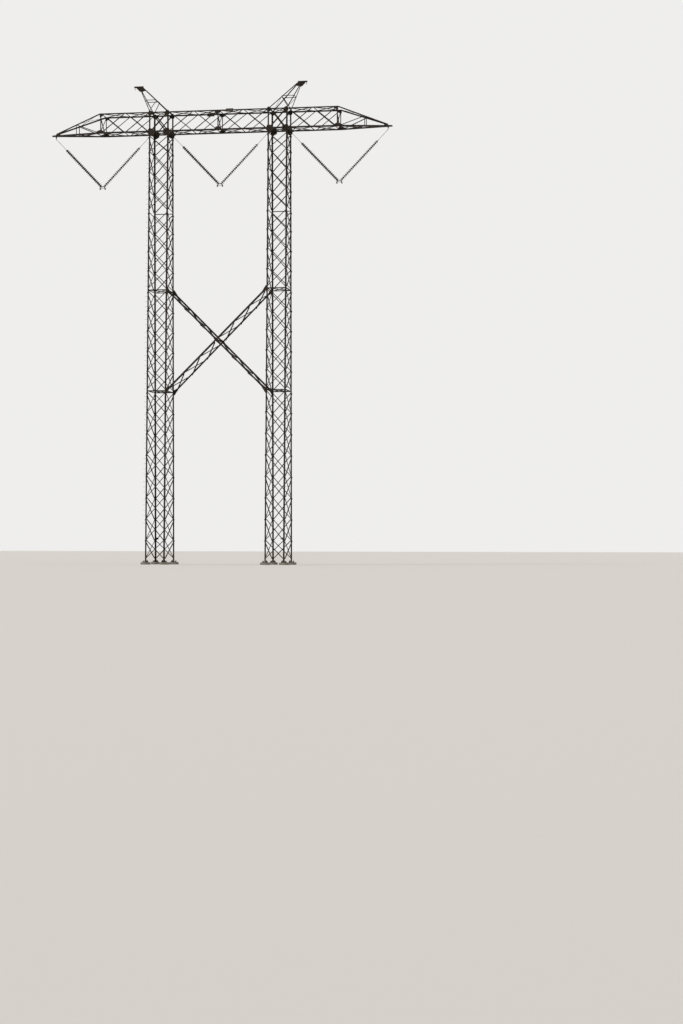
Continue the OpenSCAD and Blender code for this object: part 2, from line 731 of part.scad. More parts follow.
color(steel) for (m = [0, 1]) mirror([m, 0, 0]) nose_tip();  // nose_tips
color(steel) union() brace_arm(-brace_end, brace_end, brace_panels);  // brace_falling
color(steel) mirror([1, 0, 0]) brace_arm(brace_mid, brace_end, brace_panels / 2);  // brace_rising_low
color(steel) mirror([1, 0, 0]) brace_arm(-brace_end, -brace_mid, brace_panels / 2);  // brace_rising_high
brace_plates();
color(steel) mirror([1, 0, 0]) peak();  // left_peak
color(steel) peak();  // right_peak
color(steel) for (m = [0, 1]) mirror([m, 0, 0]) earth_clamp();  // earth_clamps
hangers();
string(v_x[0], -1);  // left_string_outer
string(v_x[0], 1);  // left_string_inner
links(v_x[0]);  // left_links
yoke(v_x[0]);  // left_yoke
string(v_x[1], -1);  // centre_string_left
string(v_x[1], 1);  // centre_string_right
links(v_x[1]);  // centre_links
yoke(v_x[1]);  // centre_yoke
string(v_x[2], -1);  // right_string_inner
string(v_x[2], 1);  // right_string_outer
links(v_x[2]);  // right_links
yoke(v_x[2]);  // right_yoke
marker_plates();
sign_plates();
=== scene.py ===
"""Looks for the lattice transmission pylon: materials, bolts, step bolts, discs, floor and light."""
import json
import math
import random

import bpy
from mathutils import Matrix, Vector


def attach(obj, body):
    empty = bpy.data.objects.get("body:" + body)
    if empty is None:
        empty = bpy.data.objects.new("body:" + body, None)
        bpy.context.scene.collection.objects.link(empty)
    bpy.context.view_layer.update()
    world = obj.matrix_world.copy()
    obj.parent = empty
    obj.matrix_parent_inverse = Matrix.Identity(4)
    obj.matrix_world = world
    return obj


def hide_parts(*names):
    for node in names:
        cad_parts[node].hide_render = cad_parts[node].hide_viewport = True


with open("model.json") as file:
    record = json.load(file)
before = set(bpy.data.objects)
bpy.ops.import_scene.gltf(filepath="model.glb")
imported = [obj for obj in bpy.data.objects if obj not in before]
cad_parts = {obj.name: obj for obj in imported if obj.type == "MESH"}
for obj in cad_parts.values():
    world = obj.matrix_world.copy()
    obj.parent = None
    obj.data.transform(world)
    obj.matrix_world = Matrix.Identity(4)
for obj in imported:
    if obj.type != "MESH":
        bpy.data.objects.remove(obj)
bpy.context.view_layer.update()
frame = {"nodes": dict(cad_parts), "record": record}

SEED = 7
rng = random.Random(SEED)

# Camera, from the fit to the photograph
CAMERA_PLACE = (38.285, -166.162, 1.205)
CAMERA_YAW = 0.17065
CAMERA_PITCH = 0.017
CAMERA_ROLL = -0.0022
CAMERA_REACH = 3000.0
FOCAL_PX = 2196.0
IMAGE_H = 1024
SENSOR_MM = 36.0

# Stage and light
FLOOR_R = 1000.0
FLOOR_SIDES = 128
FLOOR_COLOUR = (0.74, 0.72, 0.69)
BACKDROP_COLOUR = (0.86, 0.855, 0.845)
SKY_COLOUR = (1.0, 0.985, 0.96)
SKY_STRENGTH = 0.62
SUN_COLOUR = (1.0, 0.95, 0.88)
SUN_STRENGTH = 1.25
SUN_SPREAD = 12
SUN_TILT = 48
SUN_TURN = -52

# Sizes that the source of the solids gives, in metres
PHASE_SPACING = 9.42
MAST_X = PHASE_SPACING / 2
HALF_W = 0.78
D_TOP = 1.6
D_BASE = 3.11
LEG_W = 0.115
LEG_T = 0.012
LACE_T = 0.007
INNER_END = 0.096
ARM_Z = 33.64
ARM_H = 1.58
ARM_TOP = ARM_Z + ARM_H
CHORD_W = 0.12
TOP_CHORD_W = 0.1
CHORD_T = 0.012
ARM_LACE_T = 0.008
FRAME_W = 0.07
KNEE_X = 9.46
TIP_X = 13.58
NOSE_POST_X = (KNEE_X + TIP_X) / 2 - 0.06
FOOT_NODE_Z = 0.48
FIRST_NODE_Z = 1.88
LOW_RING_Z = 13.46
HIGH_RING_Z = 21.3
LOW_PANELS = 7
MID_PANELS = 5
HIGH_PANELS = 8
ARM_GAP = 0.34
RING_GAP = 0.13
STATION_GAP = 0.08
PLAN_END = 0.088
PLATE_T = 0.01
BRACE_T = 0.01
BRACE_PANELS = 6
BRACE_W = 0.128
BRACE_MID = 0.19
BRACE_SHORT = 0.21
PIER_H = 0.18
SHOE_T = 0.03
PEAK_H = 2.18
PEAK_LEAN = 1.56
PEAK_HEAD_DROP = 0.15
PEAK_RING = 0.48
PEAK_FOOT = 0.06
PEAK_LACE_W = 0.056
HANGER_H = 0.04
MARKER_X = 0.93
SIGN_Z = 1.96
SHEET_T = 0.006
PHASE_X = (-PHASE_SPACING, 0.0, PHASE_SPACING)
V_HALF = 3.795
HANG_Z = 33.554
YOKE_Z = 29.624
YOKE_PIN = 0.126
LINK_L = 0.11
FOOT_L = 0.05
DISC_PITCH = 0.156
DISC_COUNT = 26
DISC_R = 0.127
BUNDLE = 0.4
CLAMP_DROP = 0.2

# Thread sizes of the bolts, and their distances from the ends of a bar
PLATE_BOLT = 0.015
LIGHT_BOLT = 0.016
PEAK_BOLT = 0.017
BRACE_BOLT = 0.018
BAR_BOLT = 0.020
CHORD_BOLT = 0.022
BAY_BOLT = 0.024
WASHER_T = 0.0035
FIRST_BOLT = 0.025
NEXT_BOLT = 0.055
INNER_BOLT = 0.008
PEAK_END_BOLT = 0.034
PLAN_BOLT = 0.004
RING_BOLT_IN = 0.008
RING_BOLT_UP = 0.012

# Climbing pegs, in metres up the mast
STEP_FROM = 3.2
STEP_BELOW_TOP = 0.6
STEP_RISE = 0.2
STEP_IN = 0.028
STEP_NODE_GAP = 0.11
STEP_PLUMB_FROM = 0.4

SIDE_SLOPE = (D_BASE - D_TOP) / 2 / ARM_Z
LEAN = math.atan(SIDE_SLOPE)
INNER_X = MAST_X - HALF_W
OUTER_X = MAST_X + HALF_W
BRACE_ZC = (LOW_RING_Z + HIGH_RING_Z) / 2
BRACE_A = math.atan((HIGH_RING_Z - LOW_RING_Z) / 2 / INNER_X)
BRACE_END = INNER_X / math.cos(BRACE_A) - BRACE_SHORT


def steps(a, b, n):
    """The n evenly spaced values from a on, without b."""
    return [a + (b - a) * i / n for i in range(n)]


# Heights of the bracing nodes
LEVELS = ([FOOT_NODE_Z] + steps(FIRST_NODE_Z, LOW_RING_Z, LOW_PANELS)
          + steps(LOW_RING_Z, HIGH_RING_Z, MID_PANELS) + steps(HIGH_RING_Z, ARM_Z, HIGH_PANELS) + [ARM_Z])
LIGHT_RING_Z = LEVELS[1 + LOW_PANELS + MID_PANELS + HIGH_PANELS // 2]


def half_d(z):
    """Half the depth of a mast at height z."""
    return D_BASE / 2 - SIDE_SLOPE * min(z, ARM_Z)


def end_gap(z):
    """Distance that the bracing keeps from the node at height z."""
    if z == ARM_Z:
        return ARM_GAP
    return RING_GAP if z in (LOW_RING_Z, HIGH_RING_Z, LIGHT_RING_Z) else 0.0


def flat(z):
    """Length up a leaning front face to height z."""
    return z / math.cos(LEAN)


def turn(degrees, axis):
    return Matrix.Rotation(math.radians(degrees), 4, axis)


def move(x, y, z):
    return Matrix.Translation((x, y, z))


def on_front(x):
    """Place on the front face of the mast at x: X across, Y up and Z outward."""
    return move(x, -D_BASE / 2, 0) @ Matrix.Rotation(math.pi / 2 - LEAN, 4, "X")


def on_side(x, s):
    """Place on the side face of the mast at x, the right one where s is 1."""
    return move(x + s * HALF_W, 0, 0) @ turn(90 * s, "Z") @ turn(90, "X")


PLAIN = Matrix.Identity(4)
BACK = turn(180, "Z")
MIRROR_Y = Matrix.Scale(-1, 4, (0, 1, 0))
MIRROR_X = Matrix.Scale(-1, 4, (1, 0, 0))


class Mesh:
    """Collects faces of many small parts for one piece."""

    def __init__(self):
        self.points = []
        self.faces = []
        self.slots = []

    def add(self, points, faces, place, slot=0):
        """Adds faces over these points, turned inside out where the place is a mirror."""
        start = len(self.points)
        flip = place.determinant() < 0
        self.points += [tuple(place @ Vector(p)) for p in points]
        for face in faces:
            face = [start + i for i in face]
            self.faces.append(face[::-1] if flip else face)
            self.slots.append(slot)

    def lathe(self, profile, sides, place, slot=0, turn_by=0.0):
        """Turns (radius, height) pairs about Z, closed at both ends."""
        points = []
        for r, z in profile:
            for i in range(sides):
                a = 2 * math.pi * i / sides + turn_by
                points.append((r * math.cos(a), r * math.sin(a), z))
        faces = []
        for k in range(len(profile) - 1):
            for i in range(sides):
                j = (i + 1) % sides
                faces.append((k * sides + i, k * sides + j, (k + 1) * sides + j, (k + 1) * sides + i))
        faces.append(tuple(range(sides))[::-1])
        last = (len(profile) - 1) * sides
        faces.append(tuple(range(last, last + sides)))
        self.add(points, faces, place, slot)

    def box(self, size, place, slot, bevel):
        """A box about the place, with its top and bottom edges cut by the bevel."""
        x, y, z = (v / 2 for v in size)
        rings = []
        for c, inset in ((-z, bevel), (-z + bevel, 0), (z - bevel, 0), (z, bevel)):
            rings += [(a * (x - inset), b * (y - inset), c) for a, b in ((-1, -1), (1, -1), (1, 1), (-1, 1))]
        faces = [(3, 2, 1, 0), (12, 13, 14, 15)]
        for k in range(3):
            for i in range(4):
                j = (i + 1) % 4
                faces.append((4 * k + i, 4 * k + j, 4 * k + 4 + j, 4 * k + 4 + i))
        self.add(rings, faces, place, slot)

    def prism(self, outline, depth, place, slot=0):
        """Extrudes an outline in the XY plane along Z."""
        n = len(outline)
        points = [(x, y, 0) for x, y in outline] + [(x, y, depth) for x, y in outline]
        faces = [tuple(range(n))[::-1], tuple(range(n, 2 * n))]
        faces += [(i, (i + 1) % n, n + (i + 1) % n, n + i) for i in range(n)]
        self.add(points, faces, place, slot)

    def finish(self, name, body, materials, smooth_angle=None):
        """Makes the piece and lets it ride on its body."""
        mesh = bpy.data.meshes.new(name)
        mesh.from_pydata(self.points, [], self.faces)
        mesh.polygons.foreach_set("material_index", self.slots)
        for material in materials:
            mesh.materials.append(material)
        mesh.update()
        piece = bpy.data.objects.new(name, mesh)
        bpy.context.scene.collection.objects.link(piece)
        if smooth_angle is not None:
            with bpy.context.temp_override(object=piece, active_object=piece, selected_objects=[piece],
                                           selected_editable_objects=[piece]):
                bpy.ops.object.shade_smooth_by_angle(angle=math.radians(smooth_angle))
        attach(piece, body)
        return piece


# Materials
class Nodes:
    """Short calls for a node tree."""

    def __init__(self, name):
        self.material = bpy.data.materials.new(name)
        self.material.use_nodes = True
        self.tree = self.material.node_tree
        self.shader = self.tree.nodes["Principled BSDF"]
        self.place = self.tree.nodes.new("ShaderNodeTexCoord").outputs["Object"]

    def new(self, kind, **sockets):
        node = self.tree.nodes.new(kind)
        for name, value in sockets.items():
            node.inputs[name.replace("_", " ")].default_value = value
        return node

    def link(self, a, b):
        self.tree.links.new(a, b)

    def stretched(self, scale):
        node = self.new("ShaderNodeMapping")
        node.inputs["Scale"].default_value = scale
        self.link(self.place, node.inputs["Vector"])
        return node.outputs["Vector"]

    def noise(self, scale, detail=4.0, roughness=0.6, stretch=None):
        node = self.new("ShaderNodeTexNoise", Scale=scale, Detail=detail, Roughness=roughness)
        self.link(self.stretched(stretch) if stretch else self.place, node.inputs["Vector"])
        return node.outputs["Fac"]

    def ramp(self, value, low, high, a=0.0, b=1.0):
        node = self.new("ShaderNodeMapRange")
        for name, number in (("From Min", low), ("From Max", high), ("To Min", a), ("To Max", b)):
            node.inputs[name].default_value = number
        self.link(value, node.inputs["Value"])
        return node.outputs["Result"]

    def times(self, a, b):
        node = self.new("ShaderNodeMath")
        node.operation = "MULTIPLY"
        self.link(a, node.inputs[0])
        if isinstance(b, float):
            node.inputs[1].default_value = b
        else:
            self.link(b, node.inputs[1])
        return node.outputs[0]

    def mix(self, factor, a, b):
        node = self.new("ShaderNodeMix")
        node.data_type = "RGBA"
        self.link(factor, node.inputs["Factor"])
        for socket, value in ((node.inputs[6], a), (node.inputs[7], b)):
            if isinstance(value, tuple):
                socket.default_value = (*value, 1.0)
            else:
                self.link(value, socket)
        return node.outputs[2]

    def bump(self, height, distance, strength=1.0, under=None):
        node = self.new("ShaderNodeBump", Distance=distance, Strength=strength)
        self.link(height, node.inputs["Height"])
        if under is not None:
            self.link(under, node.inputs["Normal"])
        return node.outputs["Normal"]

    def end(self, colour=None, roughness=None, normal=None, metallic=None):
        for name, value in (("Base Color", colour), ("Roughness", roughness), ("Normal", normal),
                            ("Metallic", metallic)):
            if value is None:
                continue
            if isinstance(value, float):
                self.shader.inputs[name].default_value = value
            else:
                self.link(value, self.shader.inputs[name])
        return self.material


def weathered_steel(name, dark, light, rust, rust_from=0.56, streaks=True):
    """Old galvanised steel: a dull grey-brown patina in patches, with rust runs and fine pits, darkened by
    its callers as painted shade.
    """
    n = Nodes(name)
    patches = n.noise(1.7, 6.0, 0.62)
    mottle = n.noise(21.0, 3.0, 0.55)
    colour = n.mix(n.ramp(patches, 0.36, 0.66), dark, light)
    colour = n.mix(n.times(n.ramp(mottle, 0.42, 0.7), 0.45), colour, tuple(c * 0.62 for c in dark))
    runs = n.ramp(n.noise(1.0, 5.0, 0.6, (16.0, 16.0, 1.1)), rust_from, rust_from + 0.14)
    spots = n.ramp(n.noise(6.5, 8.0, 0.7), rust_from + 0.02, rust_from + 0.12)
    if streaks:
        colour = n.mix(n.times(runs, 0.55), colour, rust)
    colour = n.mix(n.times(spots, 0.7), colour, tuple(c * 0.8 for c in rust))
    roughness = n.ramp(n.noise(9.0, 5.0, 0.6), 0.3, 0.7, 0.6, 0.86)
    pits = n.bump(n.noise(240.0, 3.0, 0.6), 0.0012, 0.35)
    normal = n.bump(n.noise(14.0, 4.0, 0.6), 0.004, 0.3, pits)
    n.shader.inputs["Specular IOR Level"].default_value = 0.3
    return n.end(colour, roughness, normal, 0.1)


def glaze():
    """Dark brown glaze, with dust on what faces up."""
    dark = (0.008, 0.005, 0.004)
    light = (0.022, 0.013, 0.009)
    n = Nodes("porcelain_glaze")
    colour = n.mix(n.ramp(n.noise(3.2, 4.0, 0.6), 0.35, 0.7), dark, light)
    up = n.new("ShaderNodeSeparateXYZ")
    n.link(n.new("ShaderNodeNewGeometry").outputs["Normal"], up.inputs[0])
    dust = n.times(n.ramp(up.outputs["Z"], 0.2, 0.95), n.ramp(n.noise(34.0, 5.0, 0.65), 0.35, 0.7))
    colour = n.mix(n.times(dust, 0.35), colour, (0.070, 0.058, 0.046))
    roughness = n.ramp(dust, 0.0, 1.0, 0.22, 0.6)
    normal = n.bump(n.noise(55.0, 2.0, 0.5), 0.0008, 0.25)
    n.shader.inputs["Coat Weight"].default_value = 0.2
    n.shader.inputs["Coat Roughness"].default_value = 0.12
    return n.end(colour, roughness, normal)


def concrete():
    """Cast concrete, darker towards the ground, with rust from the plates at the top."""
    dark = (0.20, 0.18, 0.155)
    light = (0.32, 0.295, 0.26)
    specks = (0.15, 0.135, 0.115)
    n = Nodes("weathered_concrete")
    base = n.mix(n.ramp(n.noise(4.0, 8.0, 0.65), 0.35, 0.68), dark, light)
    base = n.mix(n.times(n.ramp(n.noise(46.0, 4.0, 0.6), 0.48, 0.66), 0.5), base, specks)
    height = n.new("ShaderNodeSeparateXYZ")
    n.link(n.place, height.inputs[0])
    # Darker in patches over the lowest 0.11 m of the piers.
    darker_towards_ground = n.times(n.ramp(height.outputs["Z"], 0.11, 0.0), n.ramp(n.noise(11.0, 5.0, 0.6), 0.3, 0.6))
    base = n.mix(n.times(darker_towards_ground, 0.6), base, (0.10, 0.085, 0.065))
    rust = n.times(n.ramp(n.noise(5.0, 6.0, 0.7), 0.56, 0.7), n.ramp(height.outputs["Z"], 0.1, 0.18))
    base = n.mix(n.times(rust, 0.55), base, (0.15, 0.075, 0.038))
    roughness = n.ramp(n.noise(20.0), 0.3, 0.7, 0.78, 0.95)
    pits = n.bump(n.noise(130.0, 4.0, 0.7), 0.003, 0.5)
    return n.end(base, roughness, n.bump(n.noise(17.0, 6.0, 0.65), 0.008, 0.5, pits))


def sheet():
    """Bare metal sheet with rust runs, in colours darkened as painted shade."""
    # dark and light are near-black: painted shade over the sheet's own colour.
    dark = (0.028, 0.025, 0.021)
    light = (0.064, 0.057, 0.048)
    rust = (0.070, 0.034, 0.016)
    n = Nodes("bare_sheet_in_painted_shade")
    colour = n.mix(n.ramp(n.noise(5.0, 6.0, 0.6), 0.35, 0.7), dark, light)
    runs = n.ramp(n.noise(1.0, 5.0, 0.6, (22.0, 22.0, 1.6)), 0.52, 0.68)
    colour = n.mix(n.times(runs, 0.5), colour, rust)
    roughness = n.ramp(n.noise(12.0), 0.3, 0.7, 0.5, 0.75)
    return n.end(colour, roughness, n.bump(n.noise(7.0, 3.0), 0.006, 0.4), 0.2)


# The steel colours here are near-black: painted shade laid over the grey-brown patina, not the steel's own
# colour.
TOWER = weathered_steel("tower_patina_in_painted_shade", dark=(0.012, 0.008, 0.005), light=(0.034, 0.024, 0.016),
                        rust=(0.066, 0.028, 0.011))
FITTING = weathered_steel("fitting_patina_in_painted_shade", dark=(0.014, 0.010, 0.007), light=(0.036, 0.028, 0.020),
                          rust=(0.058, 0.028, 0.013), rust_from=0.6, streaks=False)
BOLT = weathered_steel("bolt_patina_in_painted_shade", dark=(0.022, 0.016, 0.011), light=(0.050, 0.038, 0.027),
                       rust=(0.076, 0.034, 0.015), rust_from=0.52, streaks=False)
GLAZE = glaze()
CONCRETE = concrete()
SHEET = sheet()
BY_SLOT = {"tower_steel": TOWER, "fittings_steel": FITTING, "porcelain": GLAZE, "concrete": CONCRETE,
           "plate_metal": SHEET}

for entry in frame["record"]["subparts"]:
    node = frame["nodes"][entry["node"]]
    for slot in node.material_slots:
        slot.material = BY_SLOT[entry["material_slot"]]


# Bolts
def bolt(mesh, place, x, y, top, bottom, size=BAR_BOLT):
    """Head and washer on the surface at height top, nut and shank end under the surface at bottom."""
    washer = size * 1.02
    wide = size * 0.86
    narrow = wide * 0.88
    turned = rng.random() * math.pi
    head = [(washer, 0.0), (washer, WASHER_T), (wide, WASHER_T), (wide, size * 0.55), (narrow, size * 0.66)]
    nut = [(wide, 0.0), (wide, size * 0.8), (narrow, size * 0.88), (size * 0.5, size * 0.88),
           (size * 0.47, size * 1.4)]
    mesh.lathe(head, 6, place @ move(x, y, top), 0, turned)
    mesh.lathe(nut, 6, place @ move(x, y, bottom) @ turn(180, "X"), 0, turned * 0.7)


def along(p, q, distance):
    """Point at a distance from p on the way to q."""
    d = (Vector(q) - Vector(p)).normalized()
    return Vector(p) + d * distance


def cross_bolts(mesh, place, h0, h1, y0, y1, t, gap, e_out, e_in, size=BAR_BOLT, second=NEXT_BOLT):
    """Bolts of a crossed pair, as the source of the solids draws it."""
    a0, a1, b0, b1 = h0 - e_out, h1 - e_out, h0 - e_in, h1 - e_in
    for p, q in (((-a0, y0), (a1, y1)), ((a1, y1), (-a0, y0))):
        for far in (FIRST_BOLT, FIRST_BOLT + second):
            c = along(p, q, far)
            bolt(mesh, place, c.x, c.y, t, -gap, size)
    for p, q in (((b0, y0), (-b1, y1)), ((-b1, y1), (b0, y0))):
        c = along(p, q, INNER_BOLT)
        bolt(mesh, place, c.x, c.y, 0.0, -gap - t, size * 0.8)
    s = (a0 + b0) / (a0 + a1 + b0 + b1)
    bolt(mesh, place, -a0 + (a0 + a1) * s, y0 + (y1 - y0) * s, t, -gap - t, size)


def mast_bolts(name, x):
    """Bolts of the lacing and the rings on the four faces of a mast."""
    mesh = Mesh()
    rings = (LOW_RING_Z, HIGH_RING_Z)
    ring_x = HALF_W - INNER_END - RING_BOLT_IN
    for front, levels in ((on_front(x), rings), (BACK @ on_front(-x), rings + (LIGHT_RING_Z,))):
        for z0, z1 in zip(LEVELS, LEVELS[1:]):
            low = flat(z0 + end_gap(z0))
            high = flat(z1 - end_gap(z1))
            cross_bolts(mesh, front, HALF_W, HALF_W, low, high, LACE_T, LEG_T, LEG_W / 2, INNER_END)
        for z in levels:
            for s in (-1, 1):
                bolt(mesh, front, s * ring_x, flat(z) + RING_BOLT_UP, 0.0, -LEG_T - LACE_T, LIGHT_BOLT)
    for s in (-1, 1):
        side = on_side(x, s)
        for z0, z1 in zip(LEVELS, LEVELS[1:]):
            low, high = z0 + end_gap(z0), z1 - end_gap(z1)
            cross_bolts(mesh, side, half_d(low), half_d(high), low, high, LACE_T, LEG_T, LEG_W / 2, INNER_END)
        for z in rings:
            for i in (-1, 1):
                ring_y = i * (half_d(z) - INNER_END - RING_BOLT_IN)
                bolt(mesh, side, ring_y, z + RING_BOLT_UP, 0.0, -LEG_T - LACE_T, LIGHT_BOLT)
    return mesh.finish(name, "root", [BOLT])


mast_bolts("bolts_left_mast", -MAST_X)
mast_bolts("bolts_right_mast", MAST_X)


def step_bolts(name, x, s):
    """Climbing pegs on the front outer leg, turn and turn about on its two flanges."""
    mesh = Mesh()
    nut = [(0.0145, 0.0), (0.0145, 0.014), (0.008, 0.014)]
    peg = nut + [(0.008, 0.165), (0.0135, 0.169), (0.0135, 0.178), (0.009, 0.182)]
    edge_x = s * (HALF_W - STEP_IN)
    z = STEP_FROM
    k = 0
    while z < ARM_TOP - STEP_BELOW_TOP:
        near_node = min(abs(z - level) for level in LEVELS)
        if near_node > STEP_NODE_GAP:
            if k % 2 == 0:
                place = on_side(x, s) @ move(-s * (half_d(z) - STEP_IN), z, 0)
            elif z > ARM_Z - STEP_PLUMB_FROM:
                place = move(x + edge_x, -D_TOP / 2, z) @ turn(90, "X")
            else:
                place = on_front(x) @ move(edge_x, flat(z), 0)
            mesh.lathe(peg, 8, place)
            mesh.lathe(nut + [(0.008, 0.024)], 6, place @ move(0, 0, -LEG_T) @ turn(180, "X"))
            k += 1
        z += STEP_RISE
    return mesh.finish(name, "root", [BOLT])


step_bolts("step_bolts_left_mast", -MAST_X, -1)
step_bolts("step_bolts_right_mast", MAST_X, 1)


# Crossarm
CHORD_END = 0.045
WEB_END = 0.09
BAY_END = 0.15
BAY_NEXT_BOLT = 0.07
LEG_BOLTS_IN = (-0.033, -0.084)
LEG_BOLTS_DOWN = (-0.05, -0.11, -0.17, -0.23)
POST_BOLTS = (0.04, 0.10, 0.16)
PLATE_BOLTS_IN = (-0.36, -0.29, -0.22, -0.084, -0.033, 0.045)
BOTTOM_EDGE_BOLT = 0.06
TOP_EDGE_BOLT = 0.05
TIP_BOLTS_BACK = (0.14, 0.24, 0.34, 0.44, 0.54, 0.64)
TIP_BOLTS_UP = (0.032, 0.088)

FRAME_X = KNEE_X - FRAME_W / 2 - CHORD_END
ARM_LOW = ARM_Z + CHORD_W
ARM_HIGH = ARM_TOP - TOP_CHORD_W
ARM_BAYS = [(INNER_X * (i / 2 - 1), INNER_X * (i / 2 - 0.5)) for i in range(4)]
for s in (-1, 1):
    for i in (0, 1):
        a = OUTER_X + (FRAME_X - OUTER_X) * i / 2
        b = OUTER_X + (FRAME_X - OUTER_X) * (i + 1) / 2
        ARM_BAYS.append((a, b) if s > 0 else (-b, -a))
MAST_BAYS = [(s * MAST_X - HALF_W + LEG_W, s * MAST_X + HALF_W - LEG_W) for s in (-1, 1)]


def arm_lacing_bolts(mesh, side):
    front = side @ move(0, -D_TOP / 2 - CHORD_T, ARM_Z + ARM_H / 2) @ turn(90, "X") @ turn(-90, "Z")
    half = ARM_H / 2
    for a, b in ARM_BAYS:
        cross_bolts(mesh, front, half, half, a + STATION_GAP, b - STATION_GAP, ARM_LACE_T, CHORD_T,
                    CHORD_END, WEB_END)
    for a, b in MAST_BAYS:
        cross_bolts(mesh, front, half, half, a + STATION_GAP, b - STATION_GAP, ARM_LACE_T, CHORD_T,
                    CHORD_END, BAY_END, BAY_BOLT, BAY_NEXT_BOLT)


def mast_joint_bolts(mesh, side):
    """Bolts of the node plates where the legs of a mast meet the chords."""
    upright = side @ move(0, -D_TOP / 2, 0) @ turn(90, "X")
    heights = [ARM_LOW + up for up in POST_BOLTS] + [ARM_HIGH - up for up in POST_BOLTS]
    heights.append(ARM_TOP + TOP_EDGE_BOLT)
    for x in (-MAST_X, MAST_X):
        for s in (-1, 1):
            edge = x + s * HALF_W
            face = side @ on_front(x) @ move(s * HALF_W, flat(ARM_Z), 0)
            for u in LEG_BOLTS_IN:
                for v in LEG_BOLTS_DOWN:
                    bolt(mesh, face, s * u, v, CHORD_T, -LEG_T, CHORD_BOLT)
                for z in heights:
                    bolt(mesh, upright, edge + s * u, z, CHORD_T, -LEG_T, CHORD_BOLT)
            for u in PLATE_BOLTS_IN:
                under = -LEG_T if -LEG_W < u < 0 else 0.0
                bolt(mesh, upright, edge + s * u, ARM_Z + BOTTOM_EDGE_BOLT, CHORD_T, under, CHORD_BOLT)
                bolt(mesh, upright, edge + s * u, ARM_TOP - TOP_EDGE_BOLT, CHORD_T, under, CHORD_BOLT)


def frame_bolts(mesh, side):
    upright = side @ move(0, -D_TOP / 2, 0) @ turn(90, "X")
    heights = (ARM_Z + 0.05, ARM_LOW + 0.03, ARM_LOW + 0.10, ARM_HIGH - 0.10, ARM_HIGH - 0.03, ARM_TOP - 0.05)
    for x in (-FRAME_X, 0.0, FRAME_X):
        for z in heights:
            bolt(mesh, upright, x, z, CHORD_T, -ARM_LACE_T)


def nose_bolts(mesh, side):
    """Bolts at the knee, at the post of the nose and along its tip."""
    nose_turn = math.atan2(D_TOP / 2, TIP_X - KNEE_X)
    post = (NOSE_POST_X - KNEE_X) / math.cos(nose_turn)
    tip = (TIP_X - KNEE_X) / math.cos(nose_turn)
    above = CHORD_W + 0.05
    places = ((0.07, 0.07), (0.07, above), (0.16, above), (0.16, 0.07),
              (post, 0.035), (post, 0.085), (post - 0.12, 0.06), (post + 0.12, 0.06))
    along_nose = Matrix.Rotation(nose_turn, 4, "Z") @ turn(90, "X")
    for flip in (PLAIN, MIRROR_X):
        face = flip @ side @ move(KNEE_X, -D_TOP / 2, ARM_Z) @ along_nose
        for u, v in places:
            bolt(mesh, face, u, v, CHORD_T, -ARM_LACE_T)
        for back in TIP_BOLTS_BACK:
            for v in TIP_BOLTS_UP:
                bolt(mesh, face, tip - back, v, CHORD_T, 0.0, CHORD_BOLT)


def plan_bolts(mesh, side):
    """Bolts of the lacing above and below the crossarm."""
    reach = D_TOP / 2 - PLAN_END - PLAN_BOLT
    for z, tilt, across in ((ARM_TOP, 0, reach), (ARM_Z, 180, -reach)):
        plan = side @ move(0, 0, z) @ turn(tilt, "X") @ turn(-90, "Z")
        for a, b in ARM_BAYS + MAST_BAYS:
            for v in (a + STATION_GAP + PLAN_BOLT, b - STATION_GAP - PLAN_BOLT):
                bolt(mesh, plan, across, v, 0.0, -CHORD_T - ARM_LACE_T, LIGHT_BOLT)


def arm_bolts(name, side):
    mesh = Mesh()
    arm_lacing_bolts(mesh, side)
    mast_joint_bolts(mesh, side)
    frame_bolts(mesh, side)
    nose_bolts(mesh, side)
    plan_bolts(mesh, side)
    return mesh.finish(name, "root", [BOLT])


arm_bolts("bolts_arm_front", PLAIN)
arm_bolts("bolts_arm_back", MIRROR_Y)


# X brace
BRACE_LACE_T = 0.006
BRACE_EDGE = 0.06
BRACE_END_BOLTS = (-0.15, -0.09, -0.03)
BRACE_WHOLE_BOLTS = (0.07, 0.15)
BRACE_HALF_BOLTS = (0.21, 0.25)


def brace_lacing_bolts(mesh):
    """Bolts of the lacing between the front and back chords of each arm."""
    inward = (move(0, 0, BRACE_ZC) @ Matrix.Rotation(BRACE_A, 4, "Y") @ turn(180, "X") @ turn(90, "Z")
              @ move(0, 0, BRACE_W / 2))
    runs = ((PLAIN, -BRACE_END, BRACE_END, BRACE_PANELS),
            (MIRROR_X, BRACE_MID, BRACE_END, BRACE_PANELS // 2),
            (MIRROR_X, -BRACE_END, -BRACE_MID, BRACE_PANELS // 2))
    for mirror, y0, y1, n in runs:
        for i in range(n):
            a = y0 + (y1 - y0) * i / n + BRACE_EDGE
            b = y0 + (y1 - y0) * (i + 1) / n - BRACE_EDGE
            h0, h1 = (half_d(BRACE_ZC - y * math.sin(BRACE_A)) for y in (a, b))
            cross_bolts(mesh, mirror @ inward, h0, h1, a, b, BRACE_LACE_T, BRACE_T, BRACE_EDGE, BRACE_EDGE,
                        BRACE_BOLT)


